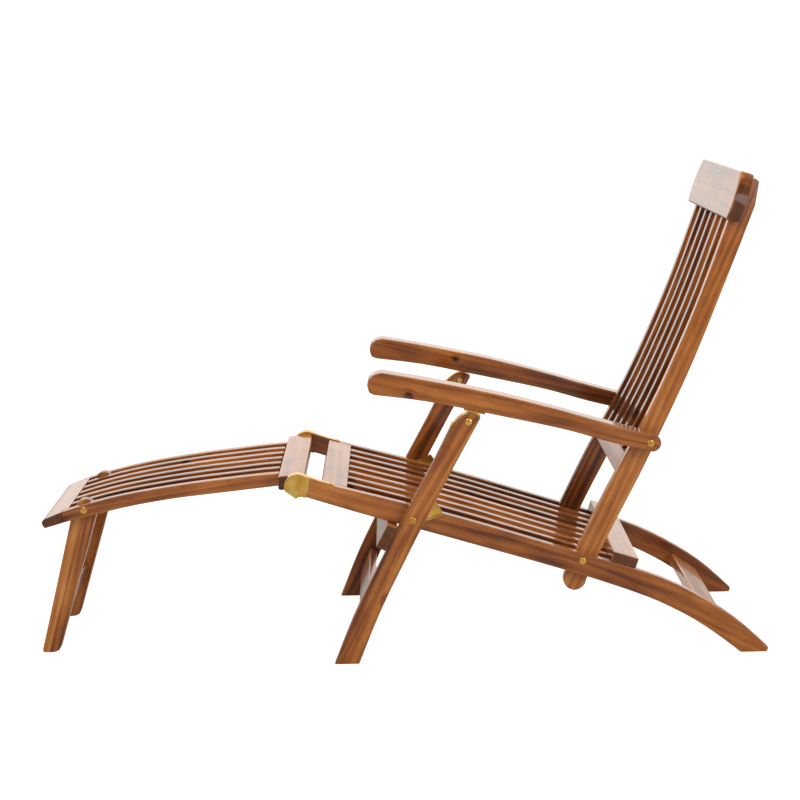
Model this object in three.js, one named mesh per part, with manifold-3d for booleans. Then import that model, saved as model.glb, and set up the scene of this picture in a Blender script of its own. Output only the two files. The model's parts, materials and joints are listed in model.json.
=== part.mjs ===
// A folding steamer deck chair with a hinged footrest, in oiled hardwood with brass fittings.
// Millimetres, +Z up. +X runs towards the rear of the chair, +Y to the sitter's right.
// The origin is on the ground, at the middle of the chair's length and width.
// Side outlines are drawn as [x, z] pairs and extruded along Y.

import * as THREE from 'three';
import { mergeVertices } from 'three/addons/utils/BufferGeometryUtils.js';
import Module from 'manifold-3d';

const wasm = await Module();
wasm.setup();

// ---------------------------------------------------------------- driving dimensions

const BOARD = 24;                    // thickness of rails and legs, across the chair
const GAP = 0.35;                    // clearance between two pieces that touch
const SLAT = 22;                     // width of a slat
const SLAT_DEPTH = 18;               // depth of a slat below its face

const SEAT_OUTER = 268;              // outer face of the seat rails, from the middle plane
const BACK_OUTER = 240;              // outer face of the back rails
const LEG_OUTER = 300;               // outer face of the front legs
const ARM_OUTER = 298;               // outer face of the arms
const ARM_INNER = 243.5;             // inner face of the arms
const FOOT_OUTER = 190;              // outer face of the footrest rails
const SEAT_INNER = SEAT_OUTER - BOARD;
const BACK_INNER = BACK_OUTER - BOARD;
const LEG_INNER = LEG_OUTER - BOARD;
const FOOT_INNER = FOOT_OUTER - BOARD;
const FOOT_LEG_OUTER = FOOT_INNER - 3;

const SEAT_SLATS = 7;
const BACK_SLATS = 5;
const FOOT_SLATS = 5;

// pivots, as [x, z]
const BACK_PIVOT = [383, 203];
const ARM_PIVOT = [522, 456];
const LEG_PIVOT = [28, 303];
const CATCH_BOLT = [147, 509];
const KNEE_PIVOT = [-216, 376];
const FOOT_LEG_PIVOT = [-668, 316];

const BOLT_RADIUS = 4;
const BOLT_HEAD_RADIUS = 7.5;
const BRASS = 1.8;                   // thickness of the knee caps' sheet
const PLATE = 2.5;                   // thickness of the other brass plates

// the seat rail: top and bottom edges from the knee back to the foot
const SEAT_TOP = [[-198, 394.5], [-165, 383], [-109, 366.5], [22, 331], [160, 290], [294, 247], [400, 213],
  [500, 182], [582, 148], [655, 106], [714, 64], [774, 8]];
const SEAT_BOTTOM = [[-193, 351], [-60, 308], [65, 271], [190, 233], [300, 199], [411, 163],
  [512, 126], [562, 103], [613, 75], [664, 40], [715, 0]];

// the footrest rail: top and bottom edges from the toe back to the knee
const FOOT_TOP = [[-759, 296], [-695, 320], [-591, 346], [-452, 368], [-314, 383], [-251.5, 388]];
const FOOT_BOTTOM = [[-753, 279], [-694, 295], [-607, 315], [-547, 327], [-458, 340], [-339, 352],
  [-251.5, 361]];

// the back rail: front and rear edges from the lower end up
const BACK_FRONT = [[346, 168], [373, 223], [440, 357], [523, 510], [584, 640], [635, 762],
  [689, 908.5]];
const BACK_REAR = [[394, 160], [440, 253], [510, 388], [590, 556], [635, 660], [676, 763],
  [716.5, 866], [756.5, 971]];

// the arm: top and bottom edges
const ARM_TOP = [[-30, 614], [50, 599], [193, 568], [316, 535], [408, 507], [519, 474.4]];
const ARM_BOTTOM = [[-46, 568], [69, 551], [223, 517], [346, 488], [439, 460], [516, 440.4]];

// the front leg: front and rear edges from the foot up, and the edge over its top
const LEG_FRONT = [[-140, 0], [-94, 111], [-43, 212], [8, 309], [69, 419], [109.5, 498]];
const LEG_REAR = [[-89, 0], [-43, 110], [7, 211], [58, 309], [117, 418], [172.5, 517]];
const LEG_TOP = [[109.5, 498], [122, 511], [137, 522], [154, 525], [172.5, 517]];

// the headboard: the lower and upper edges of its face, its depth, and its half widths
const HEAD_LOW = [677, 913.5];
const HEAD_HIGH = [710, 1010.5];
const HEAD_DEPTH = 30;
const HEAD_LOW_CORNER = 282;
const HEAD_HIGH_CORNER = 262;
const HEAD_BULGE = 21;

// ---------------------------------------------------------------- materials

const wood = new THREE.MeshStandardMaterial({ color: 0x9a5a2e, roughness: 0.32, metalness: 0 });
const brass = new THREE.MeshStandardMaterial({ color: 0xd0a24a, roughness: 0.25, metalness: 1 });

// ---------------------------------------------------------------- helpers

const group = new THREE.Group();

function addMesh(name, geometry, material) {
  const mesh = new THREE.Mesh(geometry, material);
  mesh.name = name;
  group.add(mesh);
  return mesh;
}

const vectors = (points) => points.map(([x, z]) => new THREE.Vector2(x, z));

// Points along a smooth curve through the given ones.
function smooth(points, steps) {
  return new THREE.SplineCurve(vectors(points)).getPoints(steps);
}

function circlePath([x, z], radius) {
  const path = new THREE.Path();
  path.absarc(x, z, radius, 0, Math.PI * 2, true);
  return path;
}

// Extrudes a side outline from yLow to yHigh, with round holes along Y.
function slab(outline, yLow, yHigh, holes = []) {
  const clockwise = THREE.ShapeUtils.isClockWise(outline);
  const shape = new THREE.Shape(clockwise ? [...outline].reverse() : outline);
  holes.forEach(([centre, radius]) => shape.holes.push(circlePath(centre, radius)));
  const geometry = new THREE.ExtrudeGeometry(shape, {
    depth: yHigh - yLow,
    bevelEnabled: false,
    curveSegments: 10,
  });
  geometry.rotateX(Math.PI / 2);
  geometry.translate(0, yHigh, 0);
  return geometry;
}

// A solid of revolution about an axis along Y; profile is [radius, y] pairs that start and end on it.
function turned([x, z], profile, segments = 16) {
  const geometry = new THREE.LatheGeometry(vectors(profile), segments);
  geometry.translate(x, 0, z);
  return geometry;
}

function toManifold(geometry) {
  const bare = geometry.index ? geometry.toNonIndexed() : geometry.clone();
  bare.deleteAttribute('normal');
  bare.deleteAttribute('uv');
  const merged = mergeVertices(bare, 1e-4);
  return new wasm.Manifold(new wasm.Mesh({
    numProp: 3,
    vertProperties: new Float32Array(merged.attributes.position.array),
    triVerts: new Uint32Array(merged.index.array),
  }));
}

function toGeometry(solid) {
  const { vertProperties, triVerts } = solid.getMesh();
  const geometry = new THREE.BufferGeometry();
  geometry.setAttribute('position', new THREE.BufferAttribute(new Float32Array(vertProperties), 3));
  geometry.setIndex(new THREE.BufferAttribute(new Uint32Array(triVerts), 1));
  return geometry;
}

const cut = (body, ...tools) => toGeometry(tools.reduce(
  (solid, tool) => solid.subtract(toManifold(tool)), toManifold(body)));

const join = (...bodies) => toGeometry(bodies.slice(1).reduce(
  (solid, body) => solid.add(toManifold(body)), toManifold(bodies[0])));

// The part of a smooth edge between two x values, moved along its normal by offset.
function edgeBetween(points, xLow, xHigh, offset, steps) {
  const curve = new THREE.SplineCurve(vectors(points));
  const fine = curve.getPoints(400);
  const zAt = (x) => {
    const next = fine.findIndex((p, i) => i > 0 && p.x >= x);
    const i = next < 0 ? fine.length - 1 : next;
    const [a, b] = [fine[i - 1], fine[i]];
    return a.y + (b.y - a.y) * (x - a.x) / (b.x - a.x);
  };
  return Array.from({ length: steps + 1 }, (_, i) => {
    const x = xLow + (xHigh - xLow) * i / steps;
    const slope = (zAt(x + 2) - zAt(x - 2)) / 4;
    const length = Math.hypot(1, slope);
    return new THREE.Vector2(x - offset * slope / length, zAt(x) + offset / length);
  });
}

// A strip that follows a smooth edge: its face is offset by top, its underside by top - depth.
function strip(points, xLow, xHigh, depth, steps, top = 0) {
  const upper = edgeBetween(points, xLow, xHigh, top, steps);
  const lower = edgeBetween(points, xLow, xHigh, top - depth, steps);
  return [...upper, ...lower.reverse()];
}

// Evenly spaced places for slats between two faces at plus and minus inner.
function slatPlaces(count, inner) {
  const pitch = (2 * inner + SLAT) / (count + 1);
  return Array.from({ length: count }, (_, i) => (i - (count - 1) / 2) * pitch);
}

// Both sides of the chair: -1 is the sitter's left, +1 the right.
const SIDES = [['left', -1], ['right', 1]];

// Extrudes an outline between two distances from the middle plane, on one side.
function sideSlab(outline, side, inner, outer, holes) {
  return side < 0 ? slab(outline, -outer, -inner, holes) : slab(outline, inner, outer, holes);
}

// A pivot bolt: a domed head outside, a washer collar between the two boards, a nut inside.
// Distances are from the middle plane: head seat, collar from-to, nut seat.
function pivotBolt(centre, side, headSeat, collarOuter, collarInner, nutSeat) {
  const headHeight = 3;
  const nutHeight = 5;
  const nutRadius = 6.5;
  const collarRadius = 9;
  const profile = [
    [0, headSeat + headHeight],
    [BOLT_HEAD_RADIUS * 0.55, headSeat + headHeight * 0.85],
    [BOLT_HEAD_RADIUS, headSeat + GAP],
    [BOLT_RADIUS, headSeat + GAP],
    [BOLT_RADIUS, collarOuter - GAP],
    [collarRadius, collarOuter - GAP],
    [collarRadius, collarInner + GAP],
    [BOLT_RADIUS, collarInner + GAP],
    [BOLT_RADIUS, nutSeat - GAP],
    [nutRadius, nutSeat - GAP],
    [nutRadius, nutSeat - nutHeight],
    [0, nutSeat - nutHeight],
  ].map(([radius, y]) => [radius, side * y]);
  return turned(centre, side > 0 ? profile.reverse() : profile);
}

const boltHole = (centre) => [centre, BOLT_RADIUS + GAP];

// A plain cylinder along Y, between two distances from the middle plane.
function rod([x, z], side, inner, outer, radius) {
  const geometry = new THREE.CylinderGeometry(radius, radius, outer - inner, 16);
  return geometry.translate(x, side * (inner + outer) / 2, z);
}

// The bolt that holds a catch on the leg's top: a domed head outside and a nut inside.
function catchBolt(side) {
  const nut = rod(CATCH_BOLT, side, LEG_INNER - 5, LEG_INNER - GAP, 6.5);
  const shank = rod(CATCH_BOLT, side, LEG_INNER - 1, LEG_OUTER + 1, BOLT_RADIUS);
  const head = rod(CATCH_BOLT, side, LEG_OUTER + GAP, LEG_OUTER + 3, BOLT_HEAD_RADIUS);
  return join(shank, nut, head);
}

// ---------------------------------------------------------------- seat frame

// The rounded front end of a seat rail, drawn from its top round to its underside.
const KNEE_CENTRE = [-211, 373.5];
const KNEE_RADIUS = 27;

function kneeArc(inset) {
  const arc = new THREE.Path();
  arc.absarc(...KNEE_CENTRE, KNEE_RADIUS - inset, Math.PI * 0.39, Math.PI * 1.1, false);
  return arc.getPoints(9);
}

function seatRailOutline() {
  return [
    ...kneeArc(BRASS + GAP),
    ...vectors([[-214, 350.7], [-205, 355]]),
    ...smooth(SEAT_BOTTOM, 26),
    ...vectors([[770, 0]]),
    ...smooth(SEAT_TOP, 26).reverse(),
  ];
}

// The brass cap on a rail's front end: two leaves, the wrap between them, and a strap along the top.
function kneeCap(side) {
  const leaf = [...kneeArc(0), ...vectors([[-214, 348], [-209, 351.5], [-203, 352.5], [-194, 349.5],
    [-187, 371], [-184, 391]])];
  const pocket = [...kneeArc(BRASS), ...vectors([[-214, 350], [-205, 354.4], [-193, 350.4],
    [-175, 340], [-170, 402], [-184, 390]])];
  const strap = strip(SEAT_TOP, -200, -134, BRASS, 4, BRASS + GAP);
  const strapInset = 3;
  const trim = vectors([[-203, 335], [-165, 335], [-165, 410], [-196, 410]]);
  const shell = cut(
    sideSlab(leaf, side, SEAT_INNER - BRASS, SEAT_OUTER + BRASS),
    sideSlab(pocket, side, SEAT_INNER - GAP, SEAT_OUTER + GAP),
    sideSlab(trim, side, SEAT_INNER - 2 * BRASS, SEAT_INNER),
  );
  const withStrap = join(shell, sideSlab(strap, side, SEAT_INNER + strapInset, SEAT_OUTER - strapInset));
  return cut(withStrap, rod(KNEE_PIVOT, side, SEAT_INNER - 10, SEAT_INNER + 5, BOLT_RADIUS + GAP));
}

// The brass plate between a rail and a front leg, which they rub on. Its lower edge is turned out
// into a lip behind the leg.
function pivotPlate(side) {
  const tilt = Math.atan2(26, 72);
  const length = 76;
  const height = 30;
  const lipStart = 44;
  const lipDepth = 7;
  const [x, z] = [18, 283];
  const along = [Math.cos(tilt), Math.sin(tilt)];
  const place = (a, b) => [x + a * along[0] - b * along[1], z + a * along[1] + b * along[0]];
  const plate = vectors([place(0, 0), place(length, 0), place(length + 3, 7), place(length - 2, height),
    place(0, height)]);
  const lip = vectors([place(lipStart, 0), place(length, 0), place(length + 1, PLATE),
    place(lipStart, PLATE)]);
  const seat = SEAT_OUTER + GAP;
  const body = sideSlab(plate, side, seat, seat + PLATE, [boltHole(LEG_PIVOT)]);
  return join(body, sideSlab(lip, side, seat, seat + lipDepth));
}

function addSeat() {
  const frontBoard = [-158, -107];
  const rearBoard = [442, 494];
  const railHoles = [boltHole(BACK_PIVOT), boltHole(LEG_PIVOT), boltHole(KNEE_PIVOT)];
  for (const [word, side] of SIDES) {
    addMesh(`seat_rail_${word}`, sideSlab(seatRailOutline(), side, SEAT_INNER, SEAT_OUTER, railHoles), wood);
    addMesh(`knee_cap_${word}`, kneeCap(side), brass);
    addMesh(`leg_pivot_plate_${word}`, pivotPlate(side), brass);
    addMesh(`back_pivot_bolt_${word}`,
      pivotBolt(BACK_PIVOT, side, SEAT_OUTER, SEAT_INNER, BACK_OUTER, BACK_INNER), brass);
    addMesh(`leg_pivot_bolt_${word}`,
      pivotBolt(LEG_PIVOT, side, LEG_OUTER, LEG_INNER, SEAT_OUTER + GAP + PLATE, SEAT_INNER), brass);
    addMesh(`footrest_hinge_pin_${word}`,
      rod(KNEE_PIVOT, side, SEAT_INNER - 22, SEAT_OUTER - 2, BOLT_RADIUS), brass);
  }

  const width = SEAT_INNER - GAP;
  addMesh('seat_front_board', slab(strip(SEAT_TOP, ...frontBoard, 24, 2), -width, width), wood);
  slatPlaces(SEAT_SLATS, SEAT_INNER).forEach((y, i) => {
    const outline = strip(SEAT_TOP, frontBoard[1] + GAP, rearBoard[1], SLAT_DEPTH, 9);
    addMesh(`seat_slat_${i + 1}`, slab(outline, y - SLAT / 2, y + SLAT / 2), wood);
  });
  const rearDepth = 22;
  const rearWidth = SEAT_OUTER - 1;
  addMesh('seat_rear_board',
    slab(strip(SEAT_TOP, ...rearBoard, rearDepth, 2, rearDepth + GAP), -rearWidth, rearWidth), wood);
  addMesh('rear_stretcher', slab(strip(SEAT_TOP, 646, 702, 18, 3, -19), -width, width), wood);
}

// ---------------------------------------------------------------- back

const headUp = new THREE.Vector2(HEAD_HIGH[0] - HEAD_LOW[0], HEAD_HIGH[1] - HEAD_LOW[1]);
const HEAD_HEIGHT = headUp.length();
headUp.normalize();

// A point on the headboard's end: up from its lower front edge, and back through its depth.
function headPoint(up, back) {
  return new THREE.Vector2(HEAD_LOW[0] + headUp.x * up + headUp.y * back,
    HEAD_LOW[1] + headUp.y * up - headUp.x * back);
}

function backRailOutline() {
  const notch = HEAD_DEPTH + GAP;
  const stub = new THREE.Path();
  stub.absarc(368, 158, 24, Math.PI * 1.92, Math.PI * 0.93, true);
  return [
    ...smooth(BACK_FRONT, 18),
    headPoint(-GAP, notch),
    headPoint(HEAD_HEIGHT - 15, notch),
    headPoint(HEAD_HEIGHT - 8, notch + 3),
    headPoint(HEAD_HEIGHT - 6, notch + 9),
    headPoint(HEAD_HEIGHT - 10, notch + 17),
    ...smooth(BACK_REAR, 18).reverse().slice(1),
    ...stub.getPoints(8),
  ];
}

// The headboard's face, drawn across the chair and upwards: its ends are shallow arcs.
function headboard() {
  const arcSteps = 8;
  const end = (side) => Array.from({ length: arcSteps + 1 }, (_, i) => {
    const t = i / arcSteps;
    const corner = HEAD_LOW_CORNER + (HEAD_HIGH_CORNER - HEAD_LOW_CORNER) * t;
    const bulge = HEAD_BULGE * (1 - (2 * t - 1) ** 2);
    return new THREE.Vector2(side * (corner + bulge), t * HEAD_HEIGHT);
  });
  const face = new THREE.Shape([...end(1), ...end(-1).reverse()]);
  const geometry = new THREE.ExtrudeGeometry(face, { depth: HEAD_DEPTH, bevelEnabled: false });
  const across = new THREE.Vector3(0, 1, 0);
  const up = new THREE.Vector3(headUp.x, 0, headUp.y);
  const back = new THREE.Vector3().crossVectors(across, up);
  const placed = new THREE.Matrix4().makeBasis(across, up, back);
  placed.setPosition(HEAD_LOW[0], 0, HEAD_LOW[1]);
  return geometry.applyMatrix4(placed);
}

function addBack() {
  const lowerBoard = [454.5, 476];
  const slatTop = 689;
  for (const [word, side] of SIDES) {
    addMesh(`back_rail_${word}`, sideSlab(backRailOutline(), side, BACK_INNER, BACK_OUTER,
      [boltHole(BACK_PIVOT), boltHole(ARM_PIVOT)]), wood);
    addMesh(`arm_pivot_bolt_${word}`,
      pivotBolt(ARM_PIVOT, side, ARM_OUTER, ARM_INNER, BACK_OUTER, BACK_INNER), brass);
  }
  addMesh('headboard', headboard(), wood);
  const width = BACK_INNER - GAP;
  addMesh('back_lower_board', slab(strip(BACK_FRONT, ...lowerBoard, 20, 2), -width, width), wood);
  slatPlaces(BACK_SLATS, BACK_INNER).forEach((y, i) => {
    const outline = strip(BACK_FRONT, lowerBoard[1] + GAP, slatTop, SLAT_DEPTH, 12);
    addMesh(`back_slat_${i + 1}`, slab(outline, y - SLAT / 2, y + SLAT / 2), wood);
  });
}

// ---------------------------------------------------------------- arms

function armOutline() {
  const rear = new THREE.Path();
  rear.absarc(526.5, 455.8, 17.8, Math.PI * 0.43, -Math.PI * 0.53, true);
  return [
    ...smooth(ARM_TOP, 16),
    ...rear.getPoints(10),
    ...smooth(ARM_BOTTOM, 16).reverse(),
    ...vectors([[-56.5, 573], [-60, 587], [-56.5, 601], [-46, 611]]),
  ];
}

function addArms() {
  const plate = strip(ARM_BOTTOM, 139, 182, PLATE + 1.2, 2, -GAP);
  for (const [word, side] of SIDES) {
    addMesh(`arm_${word}`,
      sideSlab(armOutline(), side, ARM_INNER, ARM_OUTER, [boltHole(ARM_PIVOT)]), wood);
    addMesh(`arm_plate_${word}`, sideSlab(plate, side, LEG_INNER + 1, ARM_OUTER - 1), brass);
  }
}

// ---------------------------------------------------------------- front legs

function legOutline() {
  return [
    ...smooth(LEG_FRONT, 16),
    ...smooth(LEG_TOP, 8).slice(1),
    ...smooth(LEG_REAR, 16).reverse().slice(1),
  ];
}

function addFrontLegs() {
  const catchWidth = [LEG_INNER + 2, LEG_OUTER - 2];
  const catchPlate = strip(LEG_TOP, 110.5, 170.5, PLATE, 8, PLATE + GAP);
  for (const [word, side] of SIDES) {
    addMesh(`front_leg_${word}`, sideSlab(legOutline(), side, LEG_INNER, LEG_OUTER,
      [boltHole(LEG_PIVOT), boltHole(CATCH_BOLT)]), wood);
    addMesh(`leg_catch_${word}`, sideSlab(catchPlate, side, ...catchWidth), brass);
    addMesh(`catch_bolt_${word}`, catchBolt(side), brass);
  }
  const upperWidth = LEG_OUTER - 1;
  const lowerWidth = LEG_INNER - GAP;
  const upperDepth = 22;
  const upperBoard = [
    ...edgeBetween(LEG_FRONT, -29, -4.4, upperDepth + GAP, 2),
    ...edgeBetween(LEG_FRONT, -29, -2.8, GAP, 2).reverse(),
  ];
  addMesh('upper_leg_stretcher', slab(upperBoard, -upperWidth, upperWidth), wood);
  addMesh('lower_leg_stretcher',
    slab(strip(LEG_FRONT, -111, -87, 17, 2, -21), -lowerWidth, lowerWidth), wood);
}

// ---------------------------------------------------------------- footrest

const TOE_END = -716;                // where the footrest rails meet the front board
const KNEE_END = -251.5;             // where they meet the rear board

function footrestRailOutline() {
  const start = TOE_END + GAP;
  const end = KNEE_END - GAP;
  return [
    ...edgeBetween(FOOT_TOP, start, end, 0, 14),
    ...edgeBetween(FOOT_BOTTOM, start, end, 0, 14).reverse(),
  ];
}

// The front board fills the width at the toe, and steps in between the rails behind it.
function footrestFrontBoard() {
  const tongueEnd = -704;
  const outline = [
    ...edgeBetween(FOOT_TOP, -754, tongueEnd, 0, 4),
    ...edgeBetween(FOOT_BOTTOM, -752, tongueEnd, 0, 4).reverse(),
    ...vectors([[-756.5, 284], [-758.5, 290], [-757.5, 294.5]]),
  ];
  const railEnd = slab(vectors([[TOE_END, 250], [TOE_END + 30, 250], [TOE_END + 30, 350],
    [TOE_END, 350]]), FOOT_INNER - GAP, FOOT_OUTER + 10);
  const otherRailEnd = railEnd.clone().translate(0, -(FOOT_INNER - GAP + FOOT_OUTER + 10), 0);
  return cut(slab(outline, -FOOT_OUTER, FOOT_OUTER), railEnd, otherRailEnd);
}

// The rear board turns between the knee caps on a pin at each end.
function footrestRearBoard() {
  const outline = vectors([[-251.5, 389.5], [-246, 391.5], [-206, 393.5], [-198, 390], [-195.5, 382],
    [-196.5, 370], [-201, 365], [-246, 361.5], [-251.5, 363]]);
  const width = SEAT_INNER - BRASS - 1.5;
  const holes = SIDES.map(([, side]) => rod(KNEE_PIVOT, side, SEAT_INNER - 24, SEAT_INNER + 10,
    BOLT_RADIUS + GAP));
  return cut(slab(outline, -width, width), ...holes);
}

function addFootrest() {
  for (const [word, side] of SIDES) {
    addMesh(`footrest_rail_${word}`, sideSlab(footrestRailOutline(), side, FOOT_INNER, FOOT_OUTER,
      [boltHole(FOOT_LEG_PIVOT)]), wood);
    addMesh(`footrest_leg_bolt_${word}`, pivotBolt(FOOT_LEG_PIVOT, side, FOOT_OUTER, FOOT_INNER,
      FOOT_LEG_OUTER, FOOT_LEG_OUTER - BOARD), brass);
  }
  addMesh('footrest_front_board', footrestFrontBoard(), wood);
  addMesh('footrest_rear_board', footrestRearBoard(), wood);
  slatPlaces(FOOT_SLATS, FOOT_INNER).forEach((y, i) => {
    const outline = strip(FOOT_TOP, -704 + GAP, KNEE_END - 2.5, SLAT_DEPTH, 12);
    addMesh(`footrest_slat_${i + 1}`, slab(outline, y - SLAT / 2, y + SLAT / 2), wood);
  });
}

// the sole of a footrest leg, from the heel to the toe
const FOOT_LEG_SOLE = [[-733.5, 12], [-738, 4], [-748, 0], [-770.5, 0], [-774, 3]];
const FOOT_LEG_TOP_RADIUS = 19.5;
const FOOT_LEG_HALF_WIDTH = 25.5;

function addFootrestLegs() {
  const down = new THREE.Vector2(-0.2665, -0.9638);
  const corner = (along, aside) => new THREE.Vector2(
    FOOT_LEG_PIVOT[0] + down.x * along - down.y * aside,
    FOOT_LEG_PIVOT[1] + down.y * along + down.x * aside);
  const shoulder = 9;
  const top = new THREE.Path();
  top.absarc(...FOOT_LEG_PIVOT, FOOT_LEG_TOP_RADIUS, Math.PI * 0.92, -Math.PI * 0.08, true);
  const outline = [
    ...top.getPoints(12),
    corner(shoulder, FOOT_LEG_HALF_WIDTH),
    ...vectors(FOOT_LEG_SOLE),
    corner(shoulder, -FOOT_LEG_HALF_WIDTH),
  ];
  for (const [word, side] of SIDES) {
    addMesh(`footrest_leg_${word}`, sideSlab(outline, side, FOOT_LEG_OUTER - BOARD, FOOT_LEG_OUTER,
      [boltHole(FOOT_LEG_PIVOT)]), wood);
  }

  const halfDepth = 8;
  const [high, low] = [195, 250];
  const board = [corner(high, -halfDepth), corner(high, halfDepth), corner(low, halfDepth),
    corner(low, -halfDepth)];
  const width = FOOT_LEG_OUTER - BOARD - GAP;
  addMesh('footrest_leg_stretcher', slab(board, -width, width), wood);
}

addSeat();
addBack();
addArms();
addFrontLegs();
addFootrest();
addFootrestLegs();

export default group;
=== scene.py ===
"""A steamer deck chair in lacquered hardwood with brass fittings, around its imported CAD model."""

import json
import math
import random

import bmesh
import bpy
import numpy as np
from mathutils import Matrix, Vector
from mathutils.bvhtree import BVHTree


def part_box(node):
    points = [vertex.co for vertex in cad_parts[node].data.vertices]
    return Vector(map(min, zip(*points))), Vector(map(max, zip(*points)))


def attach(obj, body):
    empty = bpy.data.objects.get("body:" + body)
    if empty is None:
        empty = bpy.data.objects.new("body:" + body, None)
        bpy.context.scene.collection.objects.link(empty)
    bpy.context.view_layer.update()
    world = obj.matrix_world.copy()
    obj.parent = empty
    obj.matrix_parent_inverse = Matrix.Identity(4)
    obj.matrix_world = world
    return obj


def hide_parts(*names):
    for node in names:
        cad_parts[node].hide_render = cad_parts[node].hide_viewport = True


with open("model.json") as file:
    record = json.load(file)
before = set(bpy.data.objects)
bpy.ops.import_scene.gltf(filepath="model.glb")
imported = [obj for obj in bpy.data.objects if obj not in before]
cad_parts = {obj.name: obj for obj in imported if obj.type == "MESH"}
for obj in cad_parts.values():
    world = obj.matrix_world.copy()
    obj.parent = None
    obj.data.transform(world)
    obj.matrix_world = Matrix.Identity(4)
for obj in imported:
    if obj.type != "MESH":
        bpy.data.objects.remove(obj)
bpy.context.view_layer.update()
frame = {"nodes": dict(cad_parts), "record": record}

MM = 0.001
SIDES = ("left", "right")

BODY_OF = {
    node: body
    for body, nodes in frame["record"]["behaviour"]["bodies"].items()
    for node in nodes
}


# ---------------------------------------------------------------- camera, lights and floor

CAMERA_PLACE = (0.0, -4.6153, 1.2503)
CAMERA_YAW = -0.0016
CAMERA_DOWN = 0.1592
CAMERA_ROLL = -0.0197
CAMERA_LENS = 95.85


def add_camera():
    data = bpy.data.cameras.new("camera")
    data.lens = CAMERA_LENS
    data.sensor_width = 36.0
    data.clip_end = 100.0
    camera = bpy.data.objects.new("camera", data)
    camera.matrix_world = (
        Matrix.Translation(CAMERA_PLACE)
        @ Matrix.Rotation(CAMERA_YAW, 4, "Z")
        @ Matrix.Rotation(math.pi / 2 - CAMERA_DOWN, 4, "X")
        @ Matrix.Rotation(CAMERA_ROLL, 4, "Z")
    )
    bpy.context.scene.collection.objects.link(camera)
    bpy.context.scene.camera = camera


def add_area_light(name, place, target, size, power):
    data = bpy.data.lights.new(name, "AREA")
    data.shape = "RECTANGLE"
    data.size, data.size_y = size
    data.energy = power
    light = bpy.data.objects.new(name, data)
    light.location = place
    aim = Vector(target) - Vector(place)
    light.rotation_euler = aim.to_track_quat("-Z", "Y").to_euler()
    bpy.context.scene.collection.objects.link(light)


WHITE = (1.0, 1.0, 1.0, 1.0)
WARM = (1.0, 0.955, 0.91, 1.0)

# How bright the room is in front of the chair, behind it, and to the camera.
ROOM_FRONT = 0.20
ROOM_BACK = 1.18
ROOM_SEEN = 1.1

# How grey the floor is in the light, and how much it glows to the camera.
FLOOR_GREY = 0.5
FLOOR_SEEN = 0.8
FLOOR_HALF = 30.0

# Which of a Mix node's sockets hold its numbers and its colours.
NUMBER_A, NUMBER_B, NUMBER_OUT = 2, 3, 0
COLOUR_A, COLOUR_B, COLOUR_OUT = 6, 7, 2


def add_world():
    """A white room, seen by the chair as bright behind it and dim in front, as in a studio."""
    world = bpy.data.worlds.new("studio")
    world.use_nodes = True
    tree = world.node_tree
    background = tree.nodes["Background"]
    direction = tree.nodes.new("ShaderNodeTexCoord")
    axes = tree.nodes.new("ShaderNodeSeparateXYZ")
    tree.links.new(direction.outputs["Generated"], axes.inputs[0])
    depth = tree.nodes.new("ShaderNodeMapRange")
    limits = {"From Min": -0.5, "From Max": 0.7, "To Min": ROOM_FRONT, "To Max": ROOM_BACK}
    for name, value in limits.items():
        depth.inputs[name].default_value = value
    tree.links.new(axes.outputs["Y"], depth.inputs["Value"])
    path = tree.nodes.new("ShaderNodeLightPath")
    choice = tree.nodes.new("ShaderNodeMix")
    tree.links.new(path.outputs["Is Camera Ray"], choice.inputs["Factor"])
    tree.links.new(depth.outputs["Result"], choice.inputs[NUMBER_A])
    choice.inputs[NUMBER_B].default_value = ROOM_SEEN
    tree.links.new(choice.outputs[NUMBER_OUT], background.inputs["Strength"])
    tint = tree.nodes.new("ShaderNodeMix")
    tint.data_type = "RGBA"
    tree.links.new(path.outputs["Is Camera Ray"], tint.inputs[0])
    tint.inputs[COLOUR_A].default_value = WARM
    tint.inputs[COLOUR_B].default_value = WHITE
    tree.links.new(tint.outputs[COLOUR_OUT], background.inputs["Color"])
    bpy.context.scene.world = world


def add_floor():
    """A pale floor that stays white to the camera, with soft shadows."""
    mesh = bpy.data.meshes.new("floor")
    corners = [(FLOOR_HALF * x, FLOOR_HALF * y, 0) for x, y in ((-1, -1), (1, -1), (1, 1), (-1, 1))]
    mesh.from_pydata(corners, [], [(0, 1, 2, 3)])
    floor = bpy.data.objects.new("floor", mesh)
    bpy.context.scene.collection.objects.link(floor)
    n = Nodes("pale_floor")
    n.shader.inputs["Base Color"].default_value = (FLOOR_GREY, FLOOR_GREY, FLOOR_GREY, 1.0)
    n.shader.inputs["Roughness"].default_value = 0.9
    n.shader.inputs["Specular IOR Level"].default_value = 0.0
    n.shader.inputs["Emission Color"].default_value = WHITE
    path = n.add("ShaderNodeLightPath")
    glow = n.math("MULTIPLY", path.outputs["Is Camera Ray"], FLOOR_SEEN)
    n.join(glow, n.shader.inputs["Emission Strength"])
    mesh.materials.append(n.material)


def add_stage():
    add_camera()
    add_world()
    add_floor()
    add_area_light("key", (-1.4, -3.4, 2.6), (0, 0, 0.45), (2.4, 1.8), 47)
    add_area_light("fill", (2.0, -3.0, 1.5), (0.5, 0, 0.35), (1.8, 1.8), 33)
    add_area_light("overhead", (0.2, 0.3, 3.4), (0.1, 0, 0.4), (3.0, 2.2), 40)
    bpy.context.scene.view_settings.view_transform = "Standard"
    bpy.context.scene.view_settings.look = "None"


# ---------------------------------------------------------------- material helpers

def linear(red, green, blue):
    """A colour given as display values from 0 to 255, in the linear values of the shader."""
    def convert(value):
        value /= 255
        return value / 12.92 if value <= 0.04045 else ((value + 0.055) / 1.055) ** 2.4
    return (convert(red), convert(green), convert(blue), 1.0)


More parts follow.
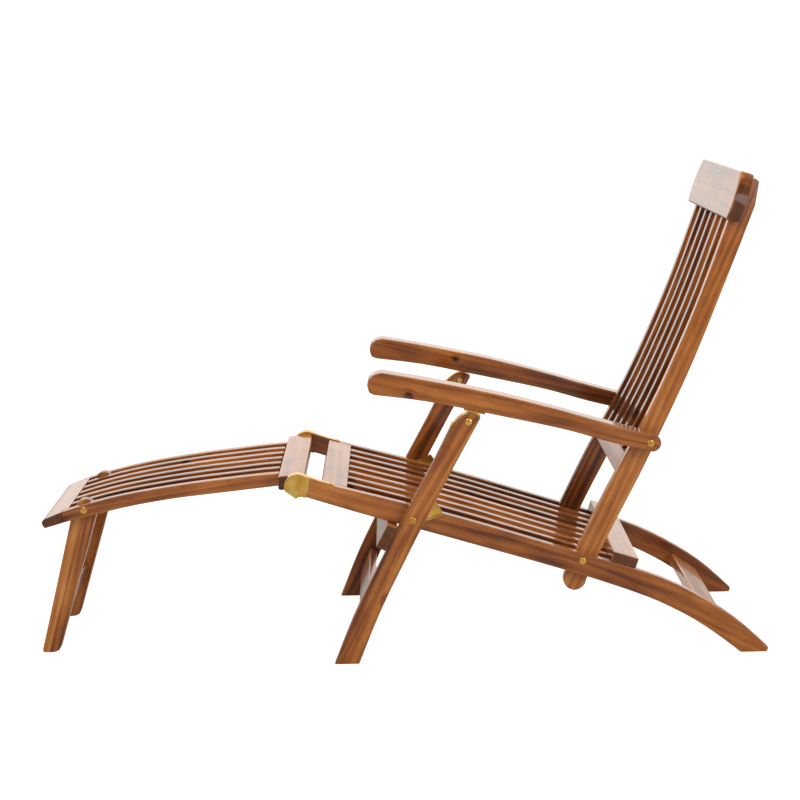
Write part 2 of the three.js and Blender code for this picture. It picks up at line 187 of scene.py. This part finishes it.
class Nodes:
    """Short ways to add and join the nodes of one material."""

    def __init__(self, name):
        self.material = bpy.data.materials.new(name)
        self.material.use_nodes = True
        self.tree = self.material.node_tree
        self.shader = self.tree.nodes["Principled BSDF"]

    def add(self, kind, **settings):
        node = self.tree.nodes.new(kind)
        for key, value in settings.items():
            setattr(node, key, value)
        return node

    def join(self, source, target):
        self.tree.links.new(source, target)

    def attribute(self, name, output="Fac"):
        return self.add("ShaderNodeAttribute", attribute_name=name).outputs[output]

    def scaled(self, vector, scale):
        node = self.add("ShaderNodeVectorMath", operation="MULTIPLY")
        self.join(vector, node.inputs[0])
        node.inputs[1].default_value = scale
        return node.outputs[0]

    def noise(self, vector, scale, detail=3.0, roughness=0.5):
        node = self.add("ShaderNodeTexNoise")
        self.join(self.scaled(vector, scale), node.inputs["Vector"])
        node.inputs["Scale"].default_value = 1.0
        node.inputs["Detail"].default_value = detail
        node.inputs["Roughness"].default_value = roughness
        return node.outputs["Fac"]

    def math(self, operation, first, second):
        node = self.add("ShaderNodeMath", operation=operation)
        for value, socket in ((first, node.inputs[0]), (second, node.inputs[1])):
            if isinstance(value, (int, float)):
                socket.default_value = value
            else:
                self.join(value, socket)
        return node.outputs[0]

    def span(self, value, low, high, to_low=0.0, to_high=1.0):
        node = self.add("ShaderNodeMapRange", clamp=True)
        self.join(value, node.inputs["Value"])
        limits = {"From Min": low, "From Max": high, "To Min": to_low, "To Max": to_high}
        for name, number in limits.items():
            node.inputs[name].default_value = number
        return node.outputs["Result"]

    def ramp(self, value, stops):
        node = self.add("ShaderNodeValToRGB")
        elements = node.color_ramp.elements
        while len(elements) < len(stops):
            elements.new(0.5)
        for element, (place, colour) in zip(elements, stops):
            element.position = place
            element.color = colour
        self.join(value, node.inputs["Fac"])
        return node.outputs["Color"]

    def mix(self, factor, first, second):
        node = self.add("ShaderNodeMix", data_type="RGBA")
        for value, index in ((factor, 0), (first, COLOUR_A), (second, COLOUR_B)):
            if isinstance(value, (int, float, tuple)):
                node.inputs[index].default_value = value
            else:
                self.join(value, node.inputs[index])
        return node.outputs[COLOUR_OUT]

    def bump(self, height, strength, distance):
        node = self.add("ShaderNodeBump")
        node.inputs["Strength"].default_value = strength
        node.inputs["Distance"].default_value = distance
        self.join(height, node.inputs["Height"])
        return node.outputs["Normal"]


# ---------------------------------------------------------------- wood

def wood_material():
    """Lacquered hardwood. The grain attribute holds metres along the board, then across it."""
    n = Nodes("wood")
    grain = n.attribute("grain", "Vector")
    tone_and_shade = n.attribute("tone_and_shade")
    end = n.attribute("end")
    edge = n.attribute("edge")
    sap = n.attribute("sap")

    knot = n.attribute("knot", "Vector")
    knot_distance = n.add("ShaderNodeVectorMath", operation="LENGTH")
    n.join(n.scaled(knot, (0.7, 1.0, 0.2)), knot_distance.inputs[0])
    ragged = n.span(n.noise(knot, (160.0, 160.0, 160.0)), 0.3, 0.7, -0.0012, 0.0012)
    knot_distance = n.math("ADD", knot_distance.outputs["Value"], ragged)
    knot_core = n.span(knot_distance, 0.0022, 0.0048, 1.0, 0.0)
    knot_halo = n.span(knot_distance, 0.002, 0.013, 1.0, 0.0)

    rings = n.add("ShaderNodeTexWave", wave_type="RINGS", rings_direction="X", wave_profile="SIN")
    n.join(n.scaled(grain, (0.10, 1.0, 1.0)), rings.inputs["Vector"])
    rings.inputs["Scale"].default_value = 21.0
    rings.inputs["Distortion"].default_value = 16.0
    rings.inputs["Detail"].default_value = 3.0
    rings.inputs["Detail Scale"].default_value = 0.30
    rings.inputs["Detail Roughness"].default_value = 0.6
    n.join(n.math("MULTIPLY", knot_halo, 5.0), rings.inputs["Phase Offset"])

    broad = n.noise(grain, (2.0, 13.0, 13.0), 2.0)
    streak = n.noise(grain, (1.3, 95.0, 95.0), 4.0, 0.62)
    thread = n.noise(grain, (6.0, 420.0, 420.0), 3.0, 0.6)
    cloud = n.noise(grain, (11.0, 26.0, 26.0), 2.0)
    fibre = n.noise(grain, (26.0, 1300.0, 1300.0), 3.0, 0.7)
    pores = n.noise(grain, (38.0, 1500.0, 1500.0), 1.0)

    shade = n.math("MULTIPLY", rings.outputs["Fac"], 0.16)
    shade = n.math("ADD", shade, n.span(broad, 0.28, 0.72, -0.03, 0.33))
    shade = n.math("ADD", shade, n.span(streak, 0.3, 0.7, 0.0, 0.24))
    shade = n.math("ADD", shade, n.span(thread, 0.3, 0.7, 0.0, 0.18))
    shade = n.math("ADD", shade, n.span(cloud, 0.32, 0.68, -0.02, 0.15))
    shade = n.math("ADD", shade, n.math("MULTIPLY", fibre, 0.12))
    # Adds each board's tone: its own lightness, and painted shade on the far-side boards and the
    # slats.
    shade = n.math("ADD", shade, tone_and_shade)
    wander = n.span(n.noise(grain, (5.0, 30.0, 30.0)), 0.3, 0.7, -0.004, 0.004)
    shade = n.math("ADD", shade, n.span(n.math("ADD", sap, wander), -0.001, 0.0015, 0.0, 0.20))
    shade = n.math("SUBTRACT", shade, n.math("MULTIPLY", knot_halo, 0.30))
    colour = n.ramp(shade, [
        (0.05, linear(58, 24, 6)),
        (0.28, linear(100, 48, 14)),
        (0.50, linear(156, 86, 30)),
        (0.74, linear(194, 118, 50)),
        (1.00, linear(216, 152, 82)),
    ])
    dark_pore = n.span(pores, 0.60, 0.70, 0.0, 0.42)
    colour = n.mix(dark_pore, colour, linear(66, 30, 11))
    colour = n.mix(n.math("MULTIPLY", knot_core, 0.72), colour, linear(34, 15, 8))
    colour = n.mix(n.math("MULTIPLY", end, 0.80), colour, linear(72, 34, 14))
    # The rounded edge faces are lightened in patches.
    lightened_edge = n.math("MULTIPLY", edge, n.span(cloud, 0.4, 0.65, 0.05, 0.28))
    colour = n.mix(lightened_edge, colour, linear(200, 136, 80))
    n.join(colour, n.shader.inputs["Base Color"])

    n.join(n.span(streak, 0.3, 0.7, 0.34, 0.46), n.shader.inputs["Roughness"])
    n.shader.inputs["Specular IOR Level"].default_value = 0.15
    n.shader.inputs["Coat Weight"].default_value = 1.0
    n.shader.inputs["Coat IOR"].default_value = 1.40
    n.shader.inputs["Coat Roughness"].default_value = 0.10
    height = n.math("ADD", n.math("MULTIPLY", fibre, 0.6), n.math("MULTIPLY", pores, -0.5))
    n.join(n.bump(height, 0.35, 0.00035), n.shader.inputs["Normal"])
    return n.material


# How light a board is against the others: below zero is darker.
# The far side's boards, the _right ones, are set darker as painted shade for the shadow inside the
# chair.
TONES_AND_SHADE = {
    "arm_left": -0.05, "arm_right": -0.10, "front_leg_left": 0.03, "front_leg_right": -0.22,
    "back_rail_left": 0.06, "back_rail_right": -0.24,
    "seat_rail_left": 0.04, "seat_rail_right": -0.18,
    "footrest_leg_left": 0.0, "footrest_leg_right": -0.05, "headboard": -0.10,
}
# Every slat is set darker as painted shade, for the shade on their sides and in the gaps between
# them.
SLAT_PAINTED_SHADE = -0.16
TONE_SPREAD = 0.07

# Boards with a strip of pale sapwood along one edge, and which edge.
SAPWOOD = {"footrest_leg_left": -1, "rear_stretcher": 1, "seat_slat_5": 1, "front_leg_right": -1}

# The boards whose grain bends with them, and how much of their bend it follows.
CURVED = ("seat_rail", "back_rail", "footrest_rail", "front_leg", "arm", "seat_slat", "back_slat",
          "footrest_slat")
BEND_FOLLOWED = 0.85


def principal_axes(points):
    """The middle of a board, and its directions along, across and through, longest first."""
    middle = (points.max(axis=0) + points.min(axis=0)) / 2
    _, vectors = np.linalg.eigh(np.cov((points - middle).T))
    axes = vectors[:, ::-1].T.copy()
    for axis in axes:
        if axis[np.argmax(np.abs(axis))] < 0:
            axis *= -1
    return middle, axes


def write_float(mesh, name, domain, values):
    attribute = mesh.attributes.new(name, "FLOAT", domain)
    attribute.data.foreach_set("value", np.asarray(values, np.float32))


def mark_grain(mesh, node, draw):
    """Writes the attributes that the wood material reads. The grain bends with a curved board."""
    points = np.array([v.co for v in mesh.vertices])
    middle, axes = principal_axes(points)
    along, across, through = ((points - middle) @ axes.T).T
    if node.startswith(CURVED):
        across = across - BEND_FOLLOWED * np.polyval(np.polyfit(along, across, 3), along)
    pith = (
        draw.uniform(0.0, 9.0),
        draw.choice((-1, 1)) * draw.uniform(0.03, 0.12),
        draw.uniform(-0.09, 0.09),
    )
    sap = across * SAPWOOD[node] - 0.003 if node in SAPWOOD else np.full(len(points), -1.0)
    write_float(mesh, "sap", "POINT", sap)
    grain = np.stack([along, across, through], axis=1) + pith
    attribute = mesh.attributes.new("grain", "FLOAT_VECTOR", "POINT")
    attribute.data.foreach_set("vector", grain.astype(np.float32).ravel())
    usual = SLAT_PAINTED_SHADE if "slat" in node else -0.02
    base = TONES_AND_SHADE.get(node, usual) + draw.uniform(-TONE_SPREAD, TONE_SPREAD)
    write_float(mesh, "tone_and_shade", "POINT", [base] * len(points))
    facing = np.array([abs(Vector(axes[0]).dot(p.normal)) for p in mesh.polygons])
    write_float(mesh, "end", "FACE", np.clip((facing - 0.7) / 0.2, 0, 1))
    mark_knot(mesh, node, points, axes, draw)


# Where a knot sits in the side of some boards, as x, y, z in metres.
KNOTS = {"arm_left": (0.0256, -0.298, 0.5696), "arm_right": (0.1373, 0.2435, 0.5634)}
KNOT_CHANCE = 0.3
FAR_AWAY = 5.0


def mark_knot(mesh, node, points, axes, draw):
    """Writes how far each corner is from the board's knot: along the grain, across, and through."""
    if node in KNOTS:
        through = np.array((0.0, 1.0, 0.0))
        offset = (points - KNOTS[node]) @ np.stack([axes[0], np.cross(through, axes[0]), through]).T
    else:
        away = 0.0 if draw.random() < KNOT_CHANCE else FAR_AWAY
        offset = (points - points[draw.randrange(len(points))]) @ axes.T + away
    attribute = mesh.attributes.new("knot", "FLOAT_VECTOR", "POINT")
    attribute.data.foreach_set("vector", offset.astype(np.float32).ravel())


# Angles in degrees: faces closer than the first are one flat face, edges sharper than the second
# are rounded. Edges no higher than ON_FLOOR stay sharp, so that the feet stand on the floor.
FLAT_ANGLE = 0.5
CREASE_ANGLE = 32
ON_FLOOR = 3 * MM


def cleaned(node):
    """The CAD node's mesh with its split corners joined and its flat faces made whole."""
    bm = bmesh.new()
    bm.from_mesh(frame["nodes"][node].data)
    bmesh.ops.remove_doubles(bm, verts=bm.verts, dist=0.02 * MM)
    bmesh.ops.dissolve_limit(
        bm, angle_limit=math.radians(FLAT_ANGLE), verts=bm.verts, edges=bm.edges)
    return bm


def soften(bm, width, segments, shortest=2.2 * MM):
    """Rounds the creased edges, but not the short ones of small holes or those on the floor."""
    edge_layer = bm.faces.layers.float.new("edge")
    creased = [
        e for e in bm.edges
        if len(e.link_faces) == 2 and e.calc_length() > shortest
        and e.calc_face_angle() > math.radians(CREASE_ANGLE)
        and max(v.co.z for v in e.verts) > ON_FLOOR
    ]
    made = bmesh.ops.bevel(
        bm, geom=creased, offset=width, offset_type="OFFSET", segments=segments, profile=0.5,
        affect="EDGES", clamp_overlap=True, miter_outer="ARC",
    )
    for face in made["faces"]:
        face[edge_layer] = 1.0


def finish_piece(bm, name, node, material):
    """Makes a smooth-shaded object of a mesh, which replaces one CAD node and rides on its body."""
    mesh = bpy.data.meshes.new(name)
    bm.to_mesh(mesh)
    bm.free()
    mesh.shade_smooth()
    mesh.materials.append(material)
    piece = bpy.data.objects.new(name, mesh)
    bpy.context.scene.collection.objects.link(piece)
    weighted = piece.modifiers.new("flat faces", "WEIGHTED_NORMAL")
    weighted.weight = 70
    weighted.keep_sharp = True
    mesh.set_sharp_from_angle(angle=math.radians(50))
    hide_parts(node)
    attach(piece, BODY_OF[node])
    return piece


def rounding(node):
    """How far a board's edges are rounded."""
    if node.startswith("arm_"):
        return 3.6 * MM
    if node == "headboard":
        return 4.0 * MM
    if "slat" in node:
        return 1.8 * MM
    return 2.1 * MM


def add_wood():
    material = wood_material()
    boards = sorted(s["node"] for s in frame["record"]["subparts"] if s["material_slot"] == "wood")
    for index, node in enumerate(boards):
        draw = random.Random(100 + index)
        bm = cleaned(node)
        soften(bm, rounding(node), 3)
        piece = finish_piece(bm, f"{node}_board", node, material)
        mark_grain(piece.data, node, draw)


# ---------------------------------------------------------------- brass

def brass_material():
    """Polished brass with fine scratches and a little tarnish."""
    n = Nodes("brass")
    place = n.add("ShaderNodeTexCoord").outputs["Object"]
    tarnish = n.noise(place, (38.0, 38.0, 38.0), 3.0, 0.5)
    spots = n.noise(place, (420.0, 420.0, 420.0), 3.0, 0.6)
    scratches = n.noise(place, (160.0, 900.0, 2400.0), 3.0, 0.6)
    colour = n.ramp(tarnish, [
        (0.28, linear(206, 150, 66)),
        (0.50, linear(236, 186, 92)),
        (0.75, linear(248, 212, 126)),
    ])
    colour = n.mix(n.span(spots, 0.62, 0.75, 0.0, 0.35), colour, linear(120, 84, 40))
    n.join(colour, n.shader.inputs["Base Color"])
    n.shader.inputs["Metallic"].default_value = 1.0
    n.join(n.span(tarnish, 0.3, 0.7, 0.27, 0.19), n.shader.inputs["Roughness"])
    n.join(n.bump(scratches, 0.06, 0.0001), n.shader.inputs["Normal"])
    return n.material


def rings_of(node):
    """A turned CAD piece's centre line (x, z), which side of the chair it is on, and its outline.

    The outline is pairs of y and radius, from the head inwards, with y counted outwards.
    """
    low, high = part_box(node)
    centre = ((low.x + high.x) / 2, (low.z + high.z) / 2)
    side = 1 if low.y + high.y > 0 else -1
    found = set()
    for vertex in frame["nodes"][node].data.vertices:
        radius = math.hypot(vertex.co.x - centre[0], vertex.co.z - centre[1])
        found.add((round(side * vertex.co.y, 5), round(radius, 4)))
    outline = []
    last = 0.0
    for y in sorted({y for y, _ in found}, reverse=True):
        radii = sorted({r for found_y, r in found if found_y == y and r > 1 * MM})
        radii.sort(key=lambda r: abs(r - last))
        for radius in radii:
            outline.append((y, radius))
            last = radius
    return centre, side, outline


def turned_bolt(node, turn):
    """A dome-headed bolt with its washer and six-sided nut, turned to the CAD piece's sizes.

    It comes with the place and the radius of its head, for cutting the slot.
    """
    steps = 48
    dome_steps = 6
    head_depth = 4 * MM
    rim_height = 0.8 * MM
    centre, side, outline = rings_of(node)
    top = outline[0][0]
    head_radius = max(r for y, r in outline if y > top - head_depth)
    seat = next(y for y, r in reversed(outline) if y > top - head_depth)
    rim = seat + rim_height
    dome = [
        (rim + (top - rim) * math.cos(a), head_radius * math.sin(a))
        for a in (math.pi / 2 * i / dome_steps for i in range(1, dome_steps + 1))
    ]
    rest = [(y, r) for y, r in outline if y <= seat + 0.05 * MM]
    profile = dome + [(seat, head_radius)] + [p for p in rest if p != (seat, head_radius)]
    nut_start = len(profile) - 2

    bm = bmesh.new()
    rings = []
    for index, (y, radius) in enumerate(profile):
        ring = []
        for step in range(steps):
            angle = 2 * math.pi * step / steps
            reach = radius
            if index >= nut_start:
                flat = angle % (math.pi / 3) - math.pi / 6
                reach = radius * math.cos(math.pi / 6) / math.cos(flat)
            x = centre[0] + reach * math.cos(angle)
            z = centre[1] + reach * math.sin(angle)
            ring.append(bm.verts.new((x, side * y, z)))
        rings.append(ring)
    for first, second in zip(rings, rings[1:]):
        for i in range(steps):
            j = (i + 1) % steps
            bm.faces.new((first[i], first[j], second[j], second[i]))
    crown = bm.verts.new((centre[0], side * top, centre[1]))
    for i in range(steps):
        bm.faces.new((crown, rings[0][i], rings[0][(i + 1) % steps]))
    bm.faces.new(rings[-1])
    bmesh.ops.recalc_face_normals(bm, faces=bm.faces)
    head = Matrix.Translation((centre[0], side * top, centre[1])) @ Matrix.Rotation(turn, 4, "Y")
    return bm, head, head_radius


def slot_cutter(head, radius):
    """A thin bar across a screw's head, that the slot is cut with. The head faces along local Y."""
    bm = bmesh.new()
    bmesh.ops.create_cube(bm, size=1.0)
    bm.transform(head @ Matrix.Diagonal((2.4 * radius, 0.5 * radius, 0.27 * radius, 1.0)))
    mesh = bpy.data.meshes.new("cutter")
    bm.to_mesh(mesh)
    bm.free()
    cutter = bpy.data.objects.new("cutter", mesh)
    bpy.context.scene.collection.objects.link(cutter)
    return cutter


def cut_slot(piece, cutter):
    modifier = piece.modifiers.new("slot", "BOOLEAN")
    modifier.operation = "DIFFERENCE"
    modifier.solver = "EXACT"
    modifier.object = cutter
    apply_modifiers(piece)
    bpy.data.objects.remove(cutter)


def apply_modifiers(piece):
    """Bakes an object's modifiers into its mesh."""
    bpy.context.view_layer.update()
    result = bpy.data.meshes.new_from_object(
        piece.evaluated_get(bpy.context.evaluated_depsgraph_get()))
    piece.modifiers.clear()
    piece.data = result


# How far some bolts' slots are turned from level, in degrees.
SLOT_TURNS = {"back_pivot_bolt_left": 88, "leg_pivot_bolt_left": -20, "catch_bolt_left": 80}


def finish_screw(bm, name, body, material, head, radius):
    """Makes a brass object of a screw or bolt, cuts its slot, and puts it on its body."""
    mesh = bpy.data.meshes.new(name)
    bm.to_mesh(mesh)
    bm.free()
    piece = bpy.data.objects.new(name, mesh)
    bpy.context.scene.collection.objects.link(piece)
    cut_slot(piece, slot_cutter(head, radius))
    piece.data.materials.clear()
    piece.data.materials.append(material)
    piece.data.shade_smooth()
    piece.data.set_sharp_from_angle(angle=math.radians(32))
    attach(piece, body)
    return piece


def add_bolts(material):
    bolts = sorted(n for n in frame["nodes"] if "bolt" in n)
    for index, node in enumerate(bolts):
        turn = math.radians(SLOT_TURNS.get(node, random.Random(index).uniform(0, 180)))
        bm, head, radius = turned_bolt(node, turn)
        piece = finish_screw(bm, f"{node}_turned", BODY_OF[node], material, head, radius)
        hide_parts(node)


def small_screw(name, body, place, normal, radius, turn, material):
    """A low domed wood screw whose head stands on a surface."""
    steps = 28
    height = 0.32 * radius
    sunk = 1.2 * MM
    facing = Vector(normal).normalized().to_track_quat("Y", "Z").to_matrix().to_4x4()
    base = Matrix.Translation(place) @ facing
    profile = [
        (-sunk, radius),
        (0.0, radius),
        (0.45 * height, 0.90 * radius),
        (0.85 * height, 0.55 * radius),
    ]
    bm = bmesh.new()
    rings = [
        [bm.verts.new(base @ Vector((r * math.cos(a), y, r * math.sin(a))))
         for a in (2 * math.pi * i / steps for i in range(steps))]
        for y, r in profile
    ]
    for first, second in zip(rings, rings[1:]):
        for i in range(steps):
            j = (i + 1) % steps
            bm.faces.new((first[i], first[j], second[j], second[i]))
    bm.faces.new(rings[0])
    bm.faces.new(rings[-1])
    bmesh.ops.recalc_face_normals(bm, faces=bm.faces)
    head = base @ Matrix.Translation((0, height, 0)) @ Matrix.Rotation(turn, 4, "Y")
    finish_screw(bm, name, body, material, head, radius)


def on_surface(node, start, direction):
    """Where a line from start first meets a CAD node, and which way the surface faces there."""
    mesh = frame["nodes"][node].data
    tree = BVHTree.FromPolygons([v.co for v in mesh.vertices], [p.vertices for p in mesh.polygons])
    place, normal, _, _ = tree.ray_cast(Vector(start), Vector(direction).normalized())
    return place, normal


# The screws in the brass fittings: the fitting, then x and z of a start and a direction to it.
SCREWS = [
    ("strap_screw", "knee_cap", (-0.141, 0.45), (0, -1), 3.2),
    ("catch_screw", "leg_catch", (0.0795, 0.5385), (0.72, -0.69), 2.8),
    ("plate_screw", "arm_plate", (0.177, 0.40), (0, 1), 2.6),
]


def add_small_screws(material):
    """The screws that hold the straps, the catches and the wear plates."""
    draw = random.Random(7)
    for word in SIDES:
        for name, stem, (x, z), (along, up), radius in SCREWS:
            node = f"{stem}_{word}"
            low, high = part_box(node)
            place, normal = on_surface(node, (x, (low.y + high.y) / 2, z), (along, 0, up))
            small_screw(f"{name}_{word}", BODY_OF[node], place, normal, radius * MM,
                        draw.uniform(0, math.pi), material)


def add_fittings(material):
    """The sheet and plate pieces and the hinge pins, with their edges eased."""
    stems = ("knee_cap", "leg_pivot_plate", "arm_plate", "leg_catch", "footrest_hinge_pin")
    for node in sorted(n for n in frame["nodes"] if n.startswith(stems)):
        bm = cleaned(node)
        soften(bm, 0.45 * MM, 2, shortest=0.5 * MM)
        finish_piece(bm, f"{node}_fitting", node, material)


def add_brass():
    material = brass_material()
    add_bolts(material)
    add_small_screws(material)
    add_fittings(material)


add_stage()
add_wood()
add_brass()
